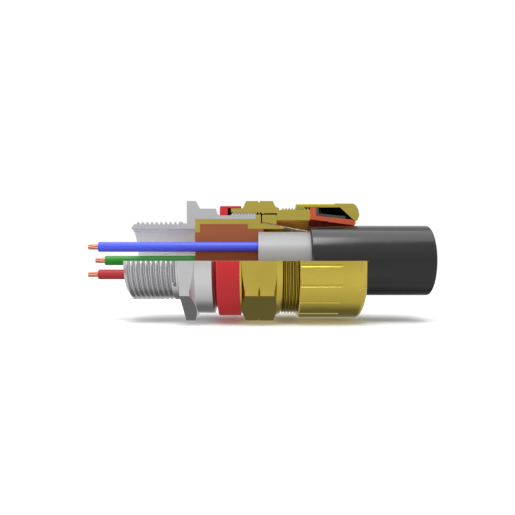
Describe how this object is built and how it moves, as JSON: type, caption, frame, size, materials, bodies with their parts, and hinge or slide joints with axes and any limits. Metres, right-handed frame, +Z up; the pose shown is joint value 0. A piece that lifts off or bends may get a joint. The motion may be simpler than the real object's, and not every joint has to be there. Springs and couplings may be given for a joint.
{
  "type": "cable gland",
  "caption": "Barrier cable gland for braided cable, cut open over a quarter turn, with a short cable sample; its nuts screw on real threads.",
  "frame": {"origin": "centre of the entry hexagon's seating face, on the gland's axis", "axes": "+X along the axis from the entry thread to the cable, +Z up, the cut quarter at -Y and +Z"},
  "size_m": [0.108, 0.0368, 0.0384],
  "materials": {
    "nickel_plated_brass": "satin nickel plate",
    "brass": "turned, bright",
    "red_silicone": "moulded, satin",
    "orange_silicone": "moulded, satin",
    "dark_rubber": "moulded, matte",
    "brown_compound": "cast and sawn, matte",
    "steel_wire": "woven galvanised wire",
    "grey_sheath": "extruded, satin",
    "filler": "extruded, matte",
    "black_sheath": "extruded, satin",
    "blue_insulation": "extruded, satin",
    "red_insulation": "extruded, satin",
    "green_insulation": "extruded, satin",
    "copper": "drawn copper"
  },
  "bodies": {
    "entry": {"entry_item": "nickel_plated_brass", "deluge_seal": "red_silicone", "compound_tube": "brass", "sealing_compound": "brown_compound", "armour_cone": "brass", "armour_braid": "steel_wire", "inner_sheath": "grey_sheath", "core_filler": "filler", "outer_sheath": "black_sheath", "blue_core": "blue_insulation", "blue_conductor": "copper", "red_core": "red_insulation", "red_conductor": "copper", "green_core": "green_insulation", "green_conductor": "copper"},
    "clamp_ring": {"clamping_ring": "brass"},
    "middle_nut": {"middle_nut": "brass"},
    "rear_seal": {"rear_seal": "orange_silicone", "rear_seal_liner": "dark_rubber"},
    "back_nut": {"back_nut": "brass"}
  },
  "joints": [
    {"name": "clamp_ring_slide", "type": "slide", "parent": "entry", "child": "clamp_ring", "axis": [1, 0, 0], "range_m": [0, 0.007]},
    {"name": "middle_nut_turn", "type": "hinge", "parent": "clamp_ring", "child": "middle_nut", "pos_m": [0.025, 0, 0], "axis": [1, 0, 0], "range_deg": [0, 2520]},
    {"name": "rear_seal_slide", "type": "slide", "parent": "middle_nut", "child": "rear_seal", "axis": [1, 0, 0], "range_m": [-0.0045, 0], "deforming": ["rear_seal", "rear_seal_liner"]},
    {"name": "back_nut_turn", "type": "hinge", "parent": "rear_seal", "child": "back_nut", "pos_m": [0.045, 0, 0], "axis": [1, 0, 0], "range_deg": [-1620, 0]}
  ],
  "couplings": [
    {"joint": "clamp_ring_slide", "follows": "middle_nut_turn", "m_per_rad": 0.00015915},
    {"joint": "rear_seal_slide", "follows": "back_nut_turn", "m_per_rad": 0.00015915}
  ]
}
